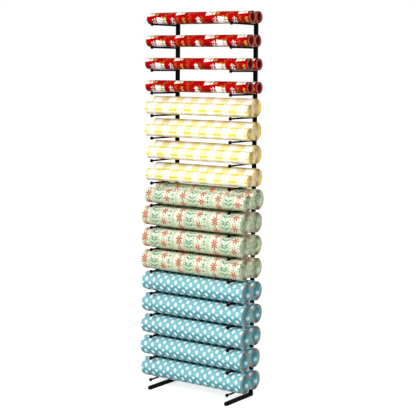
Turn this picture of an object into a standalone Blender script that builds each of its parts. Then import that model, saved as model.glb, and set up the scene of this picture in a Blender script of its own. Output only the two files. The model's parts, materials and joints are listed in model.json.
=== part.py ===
"""Free-standing gift wrap organizer: two uprights with pairs of ball-ended arms, and the paper rolls they carry.

It is written in metres with +Z up. The arms point to -Y, the floor is at Z = 0, and the origin is at the
middle of the base of everything that is modelled. Run it with: blender --background --python part.py
"""

import math
from collections import namedtuple

import bmesh
import bpy
from mathutils import Matrix

# Rack as a whole
TIERS = 17
TIER_PITCH = 0.100
UPRIGHT_SPACING = 0.420
LOWEST_ARM_HEIGHT = 0.045
UPRIGHT_ABOVE_TOP_ARM = 0.032
GAP = 0.0003
CUT_OVERRUN = 0.002

# Square tube of the uprights, feet and cross bars
TUBE = 0.016
TUBE_WALL = 0.0012
TUBE_CORNER = 0.0018
TUBE_BORE_CORNER = 0.0006
CORNER_STEPS = 2

# Arms: a round rod with a ball at its tip, welded to the front of an upright
ARM_REACH = 0.190
ROD_DIAMETER = 0.008
BALL_DIAMETER = 0.016
ROD_SIDES = 12
BALL_STEPS = 5

# Joint half way up each upright: an inner sleeve in both sections
LOWER_TIERS = 9
SLEEVE_LENGTH = 0.120
SLEEVE_WALL = 0.0012

# Feet, which run just past the ball tips and carry the uprights on a spigot held by one screw
FOOT_PAST_TIPS = 0.0025
SPIGOT_HEIGHT = 0.038
FOOT_SCREW_HEIGHT = 0.020
FOOT_SCREW_DIAMETER = 0.0035
FOOT_SCREW_LENGTH = 0.007
FOOT_SCREW_HEAD_DIAMETER = 0.007
FOOT_SCREW_HEAD_HEIGHT = 0.0022

# Plastic caps on the tops of the uprights and the fronts of the feet, and plugs inside the backs of the feet
CAP_HEAD = 0.0025
CAP_STEM = 0.008
CAP_ROUNDING = 0.0008
PLUG_LENGTH = 0.009
INSERT_CORNER = 0.0009

# Cross bars between the uprights, and the bolts that hold them
TOP_BAR_ABOVE_ARM = 0.015
BOTTOM_BAR_ABOVE_ARM = 0.0325
BAR_END_BLOCK = 0.018
BOLT_DIAMETER = 0.005
BOLT_GRIP_IN_BAR = 0.013
BOLT_HEAD_DIAMETER = 0.0095
BOLT_HEAD_HEIGHT = 0.0028
HOLE_CLEARANCE = 0.0003
TURNED_SIDES = 12
HEAD_CROWN_SHARE = 0.55
SEAM_MERGE = 0.00001

# Rolls of paper: the back one lies against the uprights and the front one against it
ROLL_SIDES = 24
ROLL_PUSH = 0.040
RED_LENGTH = 0.551
RED_DIAMETER = 0.051
RED_WALL = 0.008
YELLOW_BACK_LENGTH = 0.542
YELLOW_BACK_DIAMETER = 0.079
YELLOW_BACK_WALL = 0.015
YELLOW_FRONT_LENGTH = 0.552
YELLOW_FRONT_DIAMETER = 0.055
YELLOW_FRONT_WALL = 0.010
GREEN_LENGTH = 0.537
GREEN_BACK_DIAMETER = 0.090
GREEN_FRONT_DIAMETER = 0.087
GREEN_WALL = 0.017
GREEN_THIN_DIAMETER = 0.069
GREEN_THIN_WALL = 0.013
BLUE_LENGTH = 0.545
BLUE_DIAMETER = 0.086
BLUE_WALL = 0.016

Roll = namedtuple("Roll", "paper length diameter wall")
RED_ROLL = Roll("red_paper", RED_LENGTH, RED_DIAMETER, RED_WALL)
YELLOW_BACK_ROLL = Roll("yellow_paper", YELLOW_BACK_LENGTH, YELLOW_BACK_DIAMETER, YELLOW_BACK_WALL)
YELLOW_FRONT_ROLL = Roll("yellow_paper", YELLOW_FRONT_LENGTH, YELLOW_FRONT_DIAMETER, YELLOW_FRONT_WALL)
GREEN_BACK_ROLL = Roll("green_paper", GREEN_LENGTH, GREEN_BACK_DIAMETER, GREEN_WALL)
GREEN_THIN_ROLL = Roll("green_paper", GREEN_LENGTH, GREEN_THIN_DIAMETER, GREEN_THIN_WALL)
GREEN_FRONT_ROLL = Roll("green_paper", GREEN_LENGTH, GREEN_FRONT_DIAMETER, GREEN_WALL)
BLUE_ROLL = Roll("blue_paper", BLUE_LENGTH, BLUE_DIAMETER, BLUE_WALL)

# The two rolls of each tier, back and front, from the top tier down
TIER_ROLLS = (
    [(RED_ROLL, RED_ROLL)] * 4
    + [(YELLOW_BACK_ROLL, YELLOW_FRONT_ROLL)] * 4
    + [(GREEN_BACK_ROLL, GREEN_THIN_ROLL)]
    + [(GREEN_BACK_ROLL, GREEN_FRONT_ROLL)] * 3
    + [(BLUE_ROLL, BLUE_ROLL)] * 5
)

# How far each roll is pushed towards -X, as shares of ROLL_PUSH, from the top tier down
BACK_PUSH_SHARES = (0.7, 0.8, 0.6, 0.55, 0.57, 0.49, 0.4, 0.27, 0, 0.15, 0.15, 0.1, 0.16, 0.11, 0.22, 0.3, 0.25)
FRONT_PUSH_SHARES = (0.7, 0.8, 0.92, 0.87, 0.36, 0.38, 0.12, 0.27, 0, 0.08, 0.11, 0.15, 0, 0, 0.07, 0.14, 0.02)

# Finishes: colour, roughness and metallic value
FINISHES = {
    "black_coat": ((0.012, 0.012, 0.013), 0.42, 0.0),
    "black_plastic": ((0.015, 0.015, 0.016), 0.50, 0.0),
    "black_fastener": ((0.03, 0.03, 0.032), 0.35, 0.8),
    "red_paper": ((0.60, 0.01, 0.015), 0.45, 0.0),
    "yellow_paper": ((0.95, 0.85, 0.40), 0.55, 0.0),
    "green_paper": ((0.80, 0.86, 0.68), 0.55, 0.0),
    "blue_paper": ((0.28, 0.66, 0.72), 0.55, 0.0),
}

# Sizes that follow from the ones above
SIDES = {"left": -1, "right": 1}
TUBE_BORE = TUBE - 2 * TUBE_WALL
INSERT_WIDTH = TUBE_BORE - 2 * GAP
FOOT_REACH = ARM_REACH + BALL_DIAMETER / 2 + FOOT_PAST_TIPS
TOP_ARM_HEIGHT = LOWEST_ARM_HEIGHT + (TIERS - 1) * TIER_PITCH
UPRIGHT_BOTTOM = TUBE + GAP
UPRIGHT_TOP = TOP_ARM_HEIGHT + UPRIGHT_ABOVE_TOP_ARM
UPRIGHT_JOINT = LOWEST_ARM_HEIGHT + LOWER_TIERS * TIER_PITCH - TIER_PITCH / 2
BAR_HEIGHTS = {
    "bottom": LOWEST_ARM_HEIGHT + BOTTOM_BAR_ABOVE_ARM,
    "top": TOP_ARM_HEIGHT + TOP_BAR_ABOVE_ARM,
}
FOOT_SCREW_LEVEL = TUBE + FOOT_SCREW_HEIGHT


def arm_height(tier):
    """Height of the arm's axis in a tier, counted from 1 at the top."""
    return LOWEST_ARM_HEIGHT + (TIERS - tier) * TIER_PITCH


def roll_places():
    """Name, roll and centre of each roll, in the frame of the rack."""
    places = []
    for tier, (back, front) in enumerate(TIER_ROLLS, start=1):
        level = arm_height(tier) + ROD_DIAMETER / 2 + GAP
        back_y = -TUBE / 2 - GAP - back.diameter / 2
        radii = back.diameter / 2, front.diameter / 2
        apart = math.sqrt((sum(radii) + GAP) ** 2 - (radii[0] - radii[1]) ** 2)
        pushes = BACK_PUSH_SHARES[tier - 1] * ROLL_PUSH, FRONT_PUSH_SHARES[tier - 1] * ROLL_PUSH
        back_centre = (-pushes[0], back_y, level + radii[0])
        front_centre = (-pushes[1], back_y - apart, level + radii[1])
        places.append((f"roll_{tier:02d}_back", back, back_centre))
        places.append((f"roll_{tier:02d}_front", front, front_centre))
    return places


def base_centre():
    """Middle of the base of all that is modelled, in the frame of the rack."""
    left = min(centre[0] - roll.length / 2 for _, roll, centre in roll_places())
    right = max(centre[0] + roll.length / 2 for _, roll, centre in roll_places())
    return (left + right) / 2, (TUBE / 2 - FOOT_REACH) / 2, 0


def clear_scene():
    """Removes whatever the scene holds."""
    for obj in list(bpy.data.objects):
        bpy.data.objects.remove(obj)


def finish(name):
    """The material of a finish, made the first time that it is asked for."""
    material = bpy.data.materials.get(name)
    if material:
        return material
    colour, roughness, metallic = FINISHES[name]
    material = bpy.data.materials.new(name)
    material.use_nodes = True
    shader = material.node_tree.nodes["Principled BSDF"]
    shader.inputs["Base Color"].default_value = (*colour, 1)
    shader.inputs["Roughness"].default_value = roughness
    shader.inputs["Metallic"].default_value = metallic
    material.diffuse_color = (*colour, 1)
    return material


class Workshop:
    """Makes the objects, and keeps the parts apart from the cutters and other operands."""

    def __init__(self):
        self.parts = self.collection("Gift wrap organizer")
        self.operands = self.collection("Cutters and operands")
        self.operands.hide_render = True
        self.rack = bpy.data.objects.new("rack_frame", None)
        self.rack.location = [-distance for distance in base_centre()]
        self.parts.objects.link(self.rack)

    def collection(self, name):
        made = bpy.data.collections.new(name)
        bpy.context.scene.collection.children.link(made)
        return made

    def place(self, name, mesh, location, rotation=(0, 0, 0), material=None):
        """Adds an object to the parts, or to the operands when it has no material."""
        obj = bpy.data.objects.new(name, mesh)
        obj.parent = self.rack
        obj.location = location
        obj.rotation_euler = rotation
        if material:
            self.parts.objects.link(obj)
            mesh.materials.append(finish(material))
        else:
            self.operands.objects.link(obj)
            obj.hide_render = True
            obj.display_type = "WIRE"
        return obj


def combine(obj, operand, operation):
    """Adds a Boolean of the named kind to an object."""
    modifier = obj.modifiers.new(operand.name, "BOOLEAN")
    modifier.operation = operation
    modifier.solver = "EXACT"
    modifier.object = operand


def bar_mesh(name, width, depth, length, corner=0.0):
    """A straight bar along Z, centred, with its long edges rounded."""
    mesh = bpy.data.meshes.new(name)
    shape = bmesh.new()
    bmesh.ops.create_cube(shape, size=1, matrix=Matrix.Diagonal((width, depth, length, 1)))
    if corner:
        long_edges = [edge for edge in shape.edges if edge.verts[0].co.xy == edge.verts[1].co.xy]
        bmesh.ops.bevel(shape, geom=long_edges, offset=corner, segments=CORNER_STEPS, profile=0.5, affect="EDGES")
    shape.to_mesh(mesh)
    shape.free()
    return mesh


def profile_mesh(name, points, closed=False):
    """A profile of radius and height, from the top down its outer side."""
    mesh = bpy.data.meshes.new(name)
    edges = [(i, i + 1) for i in range(len(points) - 1)]
    if closed:
        edges.append((len(points) - 1, 0))
    mesh.from_pydata([(radius, 0, height) for radius, height in points], edges, [])
    return mesh


def turn(obj, sides):
    """Turns a profile about its Z axis and shades it smooth."""
    screw = obj.modifiers.new("turn", "SCREW")
    screw.axis = "Z"
    screw.angle = 2 * math.pi
    screw.steps = sides
    screw.render_steps = sides
    screw.use_merge_vertices = True
    screw.merge_threshold = SEAM_MERGE
    screw.use_smooth_shade = True


def square_tube(shop, name, length, location, rotation=(0, 0, 0), wall=TUBE_WALL, width=TUBE):
    """A hollow square tube, centred, along its own Z."""
    tube = shop.place(name, bar_mesh(name, width, width, length, TUBE_CORNER), location, rotation, "black_coat")
    bore = width - 2 * wall
    core = bar_mesh(name + "_bore", bore, bore, length + 2 * CUT_OVERRUN, TUBE_BORE_CORNER)
    combine(tube, shop.place(name + "_bore", core, location, rotation), "DIFFERENCE")
    return tube


def drill(shop, obj, name, diameter, length, location, rotation):
    """Cuts a round hole, given by its middle, its length and the turn of its axis from Z."""
    radius = diameter / 2 + HOLE_CLEARANCE
    ends = [(0, length / 2), (radius, length / 2), (radius, -length / 2), (0, -length / 2)]
    cutter = shop.place(name, profile_mesh(name, ends), location, rotation)
    turn(cutter, TURNED_SIDES)
    combine(obj, cutter, "DIFFERENCE")


def arm_profile():
    """Half outline of one arm: the ball at the top, then the rod down to its weld in the tube's wall."""
    ball = BALL_DIAMETER / 2
    rod = ROD_DIAMETER / 2
    root = -TUBE / 2 + TUBE_WALL / 2
    last_angle = math.pi - math.asin(rod / ball)
    points = []
    for step in range(BALL_STEPS + 1):
        angle = last_angle * step / BALL_STEPS
        points.append((ball * math.sin(angle), ARM_REACH + ball * math.cos(angle)))
    return points + [(rod, -root), (0, -root)]


def add_arms(shop, upright, name, x, lowest_tier, count):
    """Welds a ladder of arms to an upright: one turned arm, repeated up the tube."""
    arm = shop.place(name, profile_mesh(name, arm_profile()), (x, 0, arm_height(lowest_tier)), (math.pi / 2, 0, 0))
    turn(arm, ROD_SIDES)
    ladder = arm.modifiers.new("ladder", "ARRAY")
    ladder.count = count
    ladder.use_relative_offset = False
    ladder.use_constant_offset = True
    ladder.constant_offset_displace = (0, TIER_PITCH, 0)
    combine(upright, arm, "UNION")


def upright_section(shop, side, level, bottom, top, lowest_tier, count):
    """One length of upright with its arms and its bolt hole for a cross bar."""
    name = f"upright_{side}_{level}"
    x = SIDES[side] * UPRIGHT_SPACING / 2
    tube = square_tube(shop, name, top - bottom, (x, 0, (bottom + top) / 2))
    add_arms(shop, tube, name + "_arms", x, lowest_tier, count)
    bar = "bottom" if level == "lower" else "top"
    through = TUBE + 2 * CUT_OVERRUN
    drill(shop, tube, name + "_bolt_hole", BOLT_DIAMETER, through, (x, 0, BAR_HEIGHTS[bar]), (0, math.pi / 2, 0))
    return tube


def uprights(shop, side):
    """The two sections of an upright, the sleeve that joins them and the cap on top."""
    x = SIDES[side] * UPRIGHT_SPACING / 2
    seam = UPRIGHT_JOINT
    lower = upright_section(shop, side, "lower", UPRIGHT_BOTTOM, seam - GAP / 2, TIERS, LOWER_TIERS)
    inner_wall = x - SIDES[side] * (TUBE - TUBE_WALL) / 2
    hole_at = (inner_wall, 0, FOOT_SCREW_LEVEL)
    drill(shop, lower, f"upright_{side}_screw_hole", FOOT_SCREW_DIAMETER, TUBE_BORE, hole_at, (0, math.pi / 2, 0))
    upper_tiers = TIERS - LOWER_TIERS
    upright_section(shop, side, "upper", seam + GAP / 2, UPRIGHT_TOP, upper_tiers, upper_tiers)
    square_tube(shop, f"joining_sleeve_{side}", SLEEVE_LENGTH, (x, 0, seam), wall=SLEEVE_WALL, width=INSERT_WIDTH)
    end_cap(shop, f"top_cap_{side}", (x, 0, UPRIGHT_TOP), (0, 0, 0))


def end_cap(shop, name, tube_end, rotation):
    """A plastic cap whose stem plugs the end of a tube; its own +Z points out of the tube."""
    head = shop.place(name, bar_mesh(name, TUBE, TUBE, CAP_HEAD, TUBE_CORNER), tube_end, rotation, "black_plastic")
    head.data.transform(Matrix.Translation((0, 0, GAP + CAP_HEAD / 2)))
    rounding = head.modifiers.new("rounding", "BEVEL")
    rounding.width = CAP_ROUNDING
    stem_mesh = bar_mesh(name + "_stem", INSERT_WIDTH, INSERT_WIDTH, CAP_STEM + CAP_HEAD, INSERT_CORNER)
    stem_mesh.transform(Matrix.Translation((0, 0, GAP + CAP_HEAD / 2 - (CAP_STEM + CAP_HEAD) / 2)))
    combine(head, shop.place(name + "_stem", stem_mesh, tube_end, rotation), "UNION")


def inset_plug(shop, name, tube_end, rotation):
    """A plastic plug that closes a tube flush with its end; its own +Z points out of the tube."""
    mesh = bar_mesh(name, INSERT_WIDTH, INSERT_WIDTH, PLUG_LENGTH, INSERT_CORNER)
    mesh.transform(Matrix.Translation((0, 0, -PLUG_LENGTH / 2)))
    shop.place(name, mesh, tube_end, rotation, "black_plastic")


def foot(shop, side):
    """A foot along the floor with a spigot for the upright, its cap and plug, and its screw."""
    x = SIDES[side] * UPRIGHT_SPACING / 2
    back = TUBE / 2
    front = -FOOT_REACH + CAP_HEAD + GAP
    name = f"foot_{side}"
    forward = math.pi / 2, 0, 0
    tube = square_tube(shop, name, back - front, (x, (back + front) / 2, TUBE / 2), forward)
    sunk = TUBE_WALL / 2
    spigot_mesh = bar_mesh(name + "_spigot", INSERT_WIDTH, INSERT_WIDTH, SPIGOT_HEIGHT + sunk, INSERT_CORNER)
    spigot_centre = (x, 0, TUBE + (SPIGOT_HEIGHT - sunk) / 2)
    combine(tube, shop.place(name + "_spigot", spigot_mesh, spigot_centre), "UNION")
    inwards = -SIDES[side]
    screw_face = x + inwards * (TUBE / 2 + GAP)
    hole_at = (screw_face, 0, FOOT_SCREW_LEVEL)
    hole_length = 2 * (FOOT_SCREW_LENGTH + CUT_OVERRUN)
    drill(shop, tube, name + "_screw_hole", FOOT_SCREW_DIAMETER, hole_length, hole_at, (0, math.pi / 2, 0))
    end_cap(shop, f"foot_cap_{side}", (x, front, TUBE / 2), forward)
    inset_plug(shop, f"foot_plug_{side}", (x, back, TUBE / 2), (-math.pi / 2, 0, 0))
    sizes = FOOT_SCREW_HEAD_DIAMETER, FOOT_SCREW_HEAD_HEIGHT, FOOT_SCREW_DIAMETER, FOOT_SCREW_LENGTH
    fastener(shop, f"foot_screw_{side}", sizes, hole_at, inwards)


def fastener(shop, name, sizes, under_head, outwards):
    """A round-headed screw along X; outwards is the side, +1 or -1, that its head points to."""
    head_diameter, head_height, diameter, length = sizes
    crown = HEAD_CROWN_SHARE * head_diameter / 2
    rim = HEAD_CROWN_SHARE * head_height
    points = [(0, head_height), (crown, head_height), (head_diameter / 2, rim), (head_diameter / 2, 0)]
    points += [(diameter / 2, 0), (diameter / 2, -length), (0, -length)]
    rotation = (0, outwards * math.pi / 2, 0)
    screw = shop.place(name, profile_mesh(name, points), under_head, rotation, "black_fastener")
    turn(screw, TURNED_SIDES)


def cross_bar(shop, level):
    """A cross bar between the uprights, with a threaded block in each end, and its two bolts."""
    height = BAR_HEIGHTS[level]
    length = UPRIGHT_SPACING - TUBE - 2 * GAP
    name = f"cross_bar_{level}"
    across = 0, math.pi / 2, 0
    bar = shop.place(name, bar_mesh(name, TUBE, TUBE, length, TUBE_CORNER), (0, 0, height), across, "black_coat")
    hollow = bar_mesh(name + "_bore", TUBE_BORE, TUBE_BORE, length - 2 * BAR_END_BLOCK, TUBE_BORE_CORNER)
    combine(bar, shop.place(name + "_bore", hollow, (0, 0, height), across), "DIFFERENCE")
    drill(shop, bar, name + "_bolt_holes", BOLT_DIAMETER, length + 2 * CUT_OVERRUN, (0, 0, height), across)
    for side, outwards in SIDES.items():
        face = outwards * (UPRIGHT_SPACING / 2 + TUBE / 2 + GAP)
        sizes = BOLT_HEAD_DIAMETER, BOLT_HEAD_HEIGHT, BOLT_DIAMETER, GAP + TUBE + GAP + BOLT_GRIP_IN_BAR
        fastener(shop, f"bar_bolt_{side}_{level}", sizes, (face, 0, height), outwards)


def paper_roll(shop, name, roll, centre):
    """A roll of wound paper as a thick-walled tube along X."""
    outer = roll.diameter / 2
    inner = outer - roll.wall
    half = roll.length / 2
    points = [(outer, half), (outer, -half), (inner, -half), (inner, half)]
    obj = shop.place(name, profile_mesh(name, points, closed=True), centre, (0, math.pi / 2, 0), roll.paper)
    turn(obj, ROLL_SIDES)


def main():
    clear_scene()
    shop = Workshop()
    for side in SIDES:
        uprights(shop, side)
        foot(shop, side)
    for level in BAR_HEIGHTS:
        cross_bar(shop, level)
    for name, roll, centre in roll_places():
        paper_roll(shop, name, roll, centre)


if __name__ == "__main__":
    main()
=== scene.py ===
"""Looks of the gift wrap organizer, laid out as a Blender add-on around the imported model.

It dresses the fixed frame: square tubes, ball-ended arms, caps and fasteners in black, and the wound rolls
of printed paper. It is run as a script in Blender 4.5 and works in metres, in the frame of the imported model.
"""

import json
import math
from functools import reduce

import bmesh
import bpy
from bpy.props import FloatProperty, FloatVectorProperty, IntProperty, PointerProperty
from mathutils import Matrix, Vector


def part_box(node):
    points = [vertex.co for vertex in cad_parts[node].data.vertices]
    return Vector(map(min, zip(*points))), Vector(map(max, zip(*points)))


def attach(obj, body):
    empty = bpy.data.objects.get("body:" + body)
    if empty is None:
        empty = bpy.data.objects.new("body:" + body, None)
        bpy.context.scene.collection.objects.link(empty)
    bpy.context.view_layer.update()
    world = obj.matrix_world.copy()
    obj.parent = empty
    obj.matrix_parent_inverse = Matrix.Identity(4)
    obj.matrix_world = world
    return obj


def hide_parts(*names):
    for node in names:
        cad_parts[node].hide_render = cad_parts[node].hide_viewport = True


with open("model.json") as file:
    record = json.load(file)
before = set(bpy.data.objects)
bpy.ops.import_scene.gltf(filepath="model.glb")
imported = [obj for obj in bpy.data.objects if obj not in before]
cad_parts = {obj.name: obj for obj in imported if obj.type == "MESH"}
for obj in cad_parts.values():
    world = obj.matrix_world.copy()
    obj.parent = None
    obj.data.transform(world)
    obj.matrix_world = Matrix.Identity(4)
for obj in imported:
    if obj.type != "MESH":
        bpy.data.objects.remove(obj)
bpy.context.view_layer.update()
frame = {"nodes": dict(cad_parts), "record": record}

bl_info = {
    "name": "Gift wrap organizer",
    "version": (1, 0, 0),
    "blender": (4, 5, 0),
    "location": "3D View > Sidebar > Organizer",
    "description": "Builds the looks of a free-standing rack of gift wrap rolls around its packed model",
    "category": "Object",
}

SIDES = ("left", "right")
LEVELS = ("lower", "upper")
PAPERS = ("red", "yellow", "green", "blue")
LAMPS = ("key", "fill", "rear")
X, Y, Z = range(3)
WHITE = (1, 1, 1)
QUARTER = math.pi / 2
FULL_TURN = 2 * math.pi
# Bearing of a roll's front, counted round its axis from the top
FRONT = 1.5 * math.pi
# Turns that lay a shape's own height along each axis
LAID = (Matrix.Rotation(QUARTER, 4, "Y"), Matrix.Rotation(QUARTER, 4, "X"), Matrix.Identity(4))

# Points closer than this are one point
SAME_POINT = 0.000001
# Corners of a round rod or a bolt's head, and steps over a ball, a button head and a tube's corner
ROUND_SIDES = 24
BALL_STEPS = 12
BUTTON_STEPS = 6
CORNER_STEPS = 4
# An edge that bends more than this stays sharp, on the rack and on a roll
RACK_SHARP = math.radians(40)
ROLL_SHARP = 0.6


def linear(red, green, blue):
    """Linear values of a colour that is given as a screen shows it, in shares of full brightness."""
    return tuple(c / 12.92 if c <= 0.04045 else ((c + 0.055) / 1.055) ** 2.4 for c in (red, green, blue))


def size(name, description, default, lowest=0):
    shown = {"min": lowest, "unit": "LENGTH", "precision": 5}
    return FloatProperty(name=name, description=description, default=default, **shown)


def share(name, description, default):
    return FloatProperty(name=name, description=description, default=default, subtype="FACTOR")


def colour(name, description, *screen):
    shown = {"default": linear(*screen), "subtype": "COLOR", "size": 3}
    return FloatVectorProperty(name=name, description=description, **shown)


def turn_angle(name, description, degrees):
    return FloatProperty(name=name, description=description, default=math.radians(degrees), subtype="ANGLE")


def count(name, description, default):
    return IntProperty(name=name, description=description, default=default, min=1)


def spot(name, description, *place):
    return FloatVectorProperty(name=name, description=description, default=place, subtype="TRANSLATION")


def power(name, description, watts):
    return FloatProperty(name=name, description=description, default=watts, unit="POWER")


class RackSettings(bpy.types.PropertyGroup):
    """Sizes and finish of the black rack."""

    wall: size("Tube wall", "Thickness of the square tube", 0.0012)
    corner: size("Tube corner", "Outer corner radius of the square tube", 0.0018)
    bore_corner: size("Bore corner", "Inner corner radius of the square tube", 0.0006)
    edge_break: size("Cut edge", "Softened edge where a tube is cut", 0.0002)
    clearance: size("Clearance", "Gap between a tube and what plugs into it", 0.0003)
    rod: size("Rod diameter", "Diameter of an arm", 0.008)
    ball: size("Ball diameter", "Diameter of the ball at an arm's tip", 0.016)
    weld: size("Weld bead", "How far the weld stands out round an arm's root", 0.0013)
    cap_head: size("Cap head", "Thickness of a cap outside its tube", 0.0025)
    dome: size("Cap dome", "Height of the dome on a plastic cap", 0.0005)
    socket: size("Socket width", "Width across the hexagon socket of a bolt", 0.003)
    socket_depth: size("Socket depth", "Depth of the hexagon socket", 0.0017)
    coat: colour("Powder coat", "Colour of the powder-coated steel", 0.03, 0.03, 0.033)
    plastic: colour("Plastic", "Colour of the caps and plugs", 0.04, 0.04, 0.045)
    fastener: colour("Fastener", "Colour of the bolts and screws", 0.10, 0.10, 0.11)


class RollSettings(bpy.types.PropertyGroup):
    """How the rolls of paper are wound."""

    steps: count("Steps in a turn", "Sides of each turn of paper", 56)
    red_wall: size("Red wall", "Wound thickness of a red roll", 0.008)
    yellow_back_wall: size("Yellow back wall", "Wound thickness of a yellow roll at the back", 0.015)
    yellow_front_wall: size("Yellow front wall", "Wound thickness of a yellow roll at the front", 0.010)
    green_wall: size("Green wall", "Wound thickness of a green roll", 0.017)
    green_thin_wall: size("Thin green wall", "Wound thickness of the thin green roll", 0.013)
    blue_wall: size("Blue wall", "Wound thickness of a blue roll", 0.016)
    thin_below: size("Thin roll below", "A green roll narrower than this is the thin one", 0.075)
    bundle: size("Bundle", "Average thickness of the layers that lie together at a roll's end", 0.0014)
    wander: size("End wander", "How far the layers' ends draw back from a roll's end", 0.0014)
    packed: share("Packed share", "How much of a turn's pitch the paper fills", 0.94)
    thinnest: size("Thinnest layer", "Thickness of the paper where its inner end lies in the bore", 0.00006)
    lift: size("Lift", "How far the free edge of a front roll stands off the layer below", 0.0007)
    lifted_share: share("Lifted share", "Share of a turn over which the free edge lifts", 0.06)
    seam_red: turn_angle("Red seam", "Height angle of the free edge of a front red roll", -22)
    seam_yellow: turn_angle("Yellow seam", "Height angle of the free edge of a front yellow roll", -38)
    seam_green: turn_angle("Green seam", "Height angle of the free edge of a front green roll", 5)
    seam_blue: turn_angle("Blue seam", "Height angle of the free edge of a front blue roll", -1)
    seam_back: turn_angle("Back seam", "Height angle of the free edge of a back roll", 128)
    seam_spread: turn_angle("Seam spread", "How much the free edge's place differs between rolls", 5)
    yellow_shift: size("Yellow shift", "How far the print of a back yellow roll is turned on", 0.0210)
    yellow_start: size("Yellow start", "Length cut off the print's repeat on a back yellow roll", 0.0055)


class PrintSettings(bpy.types.PropertyGroup):
    """Colours and sizes of the printed papers."""

    # Painted shade: past this share of the outer turn each ground turns to a darker copy, for the lower front
    # of a front roll and the top of a back roll
    faded: share("Faded share", "Share of the outer turn, from its free edge, whose ink has faded", 0.74)
    red: colour("Red", "Ground of the red paper", 0.69, 0.0, 0.0)
    # Painted shade: the darker red of the shaded stretch
    fresh_red: colour("Fresh red", "Ground of the red paper where it hasn't faded", 0.57, 0.0, 0.0)
    dark_red: colour("Dark red", "Darker sprigs on the red paper", 0.50, 0.0, 0.0)
    white: colour("White", "White of every print", 0.97, 0.97, 0.96)
    ivory: colour("Ivory", "Soft shade in the white of the red paper", 0.93, 0.88, 0.82)
    gold: colour("Gold", "Ribbons and stars on the red paper", 0.78, 0.61, 0.25)
    bronze: colour("Bronze", "Paler sprigs on the red paper", 0.74, 0.42, 0.18)
    pale_yellow: colour("Pale yellow", "Pale check of the gingham", 0.99, 0.97, 0.77)
    # Painted shade: the darker pale check of the shaded stretch
    fresh_yellow: colour("Fresh yellow", "Pale check where it hasn't faded", 0.97, 0.89, 0.66)
    strong_yellow: colour("Strong yellow", "Strong check of the gingham", 0.98, 0.88, 0.28)
    # Painted shade: the darker strong check and line of checks of the shaded stretch
    fresh_strong: colour("Fresh strong yellow", "Strong check where it hasn't faded", 0.90, 0.76, 0.34)
    fresh_line: colour("Fresh line", "Line of checks where it hasn't faded", 0.94, 0.87, 0.64)
    # Painted shade: the pale check and the white in a dark golden stretch along the bottom of a front yellow
    # roll and the top of a back one
    deep_yellow: colour("Deep yellow", "Pale check in the outer turn's darkest stretch", 0.78, 0.62, 0.22)
    deep_white: colour("Deep white", "White in the outer turn's darkest stretch", 0.86, 0.73, 0.40)
    cream: colour("Cream", "Ground of the green paper", 0.935, 0.945, 0.86)
    # Painted shade: the darker cream of the shaded stretch, also used for random blotches
    fresh_cream: colour("Fresh cream", "Ground of the green paper where it hasn't faded", 0.84, 0.88, 0.75)
    coral: colour("Coral", "Daisies on the green paper", 0.80, 0.42, 0.32)
    sage: colour("Sage", "Leaves on the green paper", 0.40, 0.62, 0.48)
    grey_green: colour("Grey green", "Thin lines on the green paper", 0.57, 0.67, 0.58)
    aqua: colour("Aqua", "Ground of the blue paper", 0.50, 0.757, 0.795)
    # Painted shade: the darker aqua of the shaded stretch
    fresh_aqua: colour("Fresh aqua", "Ground of the blue paper where it hasn't faded", 0.36, 0.65, 0.70)
    check: size("Check", "Distance from one check to the next along a yellow roll", 0.0799)
    check_start: size("First check", "Where the first whole pale check starts along a yellow roll", 0.0587)
    check_width: size("Check width", "Width of a pale check along a yellow roll", 0.0408)
    check_row: size("Check row", "Distance from one strong row to the next round a yellow roll", 0.0368)
    check_row_width: size("Check row width", "Width of a strong row", 0.0098)
    check_row_start: size("First row", "Height of the first strong row above the roll's front", -0.005, -1)
    dot: size("Dot", "Width of a dot along a blue roll", 0.0158)
    dot_height: size("Dot height", "Height of a dot round a blue roll", 0.0196)
    dot_pitch: size("Dot pitch", "Distance between dots along a blue roll", 0.0412)
    dot_start: size("First dot", "Where the first dot lies along a blue roll", 0.028)
    dot_row: size("Dot row", "Distance between rows of dots round a blue roll", 0.0213)
    dot_row_start: size("First dot row", "Height of the first row above the roll's front", 0.0150)
    dot_lean: share("Dot lean", "How far the rows of dots step along the roll from one to the next", 0.084)
    bouquet: size("Bouquet", "Distance along a green roll after which its bands repeat", 0.190)
    daisy_row: size("Daisy row", "Distance between daisies round a green roll", 0.044)
    parcel: size("Parcel", "Distance along a red roll after which its parcels repeat", 0.330)
    parcel_row: size("Parcel row", "Distance round a red roll after which its parcels repeat", 0.0742)


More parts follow.
